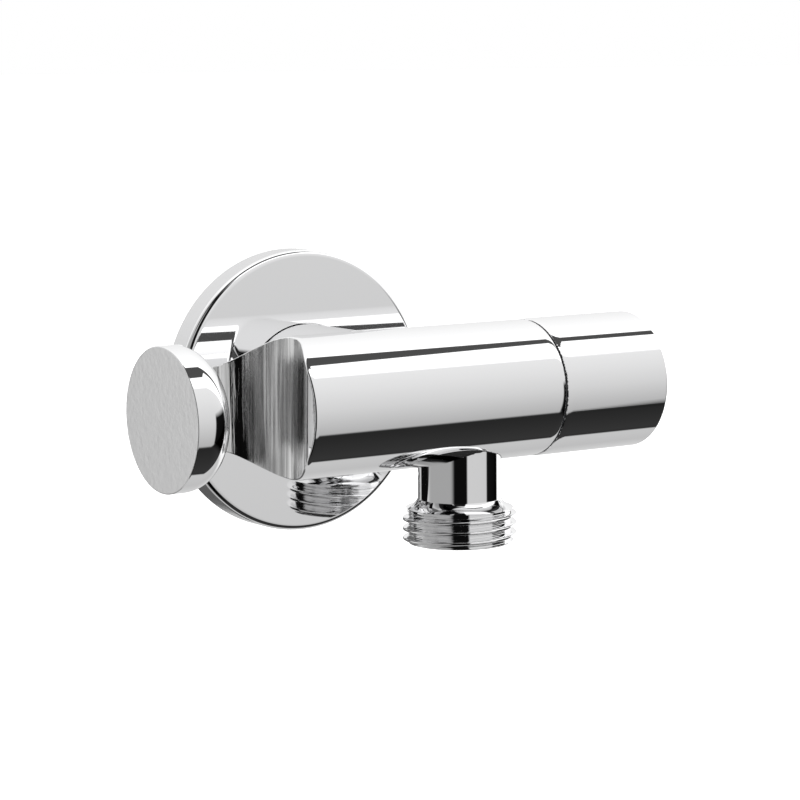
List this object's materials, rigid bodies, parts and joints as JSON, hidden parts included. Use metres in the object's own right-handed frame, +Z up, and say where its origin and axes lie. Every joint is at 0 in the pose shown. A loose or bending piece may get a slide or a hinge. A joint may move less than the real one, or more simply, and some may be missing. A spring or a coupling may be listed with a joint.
{
  "type": "angle stop valve",
  "caption": "Chrome angle stop valve: wall flange, round horizontal barrel with quarter-turn end handle, threaded outlet pointing down and a C-shaped hand-shower cradle.",
  "frame": {"origin": "where the inlet's axis meets the wall plane, at the root of the inlet thread", "axes": "+X along the bar towards the handle, +Y into the wall along the inlet, +Z up"},
  "size_m": [0.1004, 0.0513, 0.0534],
  "materials": {
    "polished_chrome": "mirror-polished chrome plate on brass",
    "turned_brass": "turned, fine tool marks",
    "stainless_steel": "bright drawn steel",
    "black_rubber": "moulded EPDM, matt",
    "white_plastic": "moulded acetal",
    "dark_plastic": "moulded nylon",
    "disc_ceramic": "lapped alumina"
  },
  "bodies": {
    "valve": {"valve_body": "polished_chrome", "shower_cradle": "polished_chrome", "cradle_dowel": "stainless_steel", "wall_flange": "polished_chrome", "flange_o_ring": "black_rubber", "inlet_nipple": "turned_brass", "inlet_o_ring": "black_rubber", "inlet_strainer": "stainless_steel", "outlet_nipple": "polished_chrome", "check_valve_housing": "white_plastic", "check_valve_o_ring": "black_rubber", "check_valve_spring": "stainless_steel", "cartridge_body": "turned_brass", "cartridge_cage": "turned_brass", "cartridge_o_ring": "black_rubber", "seat_gasket": "black_rubber", "fixed_disc": "disc_ceramic", "thrust_washer": "white_plastic", "glide_ring": "dark_plastic"},
    "handle": {"handle_shell": "polished_chrome", "handle_insert": "dark_plastic", "handle_grub_screw": "stainless_steel", "spindle": "turned_brass", "spindle_o_rings": "black_rubber", "spindle_circlip": "stainless_steel", "moving_disc": "disc_ceramic"},
    "poppet": {"check_valve_poppet": "white_plastic", "check_valve_seal": "black_rubber"}
  },
  "joints": [
    {"name": "handle_turn", "type": "hinge", "parent": "valve", "child": "handle", "pos_m": [0, -0.0265, 0], "axis": [1, 0, 0], "range_deg": [0, 90]},
    {"name": "check_valve_lift", "type": "slide", "parent": "valve", "child": "poppet", "axis": [0, 0, -1], "range_m": [0, 0.0018], "stiffness_N_per_m": 100, "springref_m": -0.001, "deforming": ["check_valve_spring"]}
  ]
}
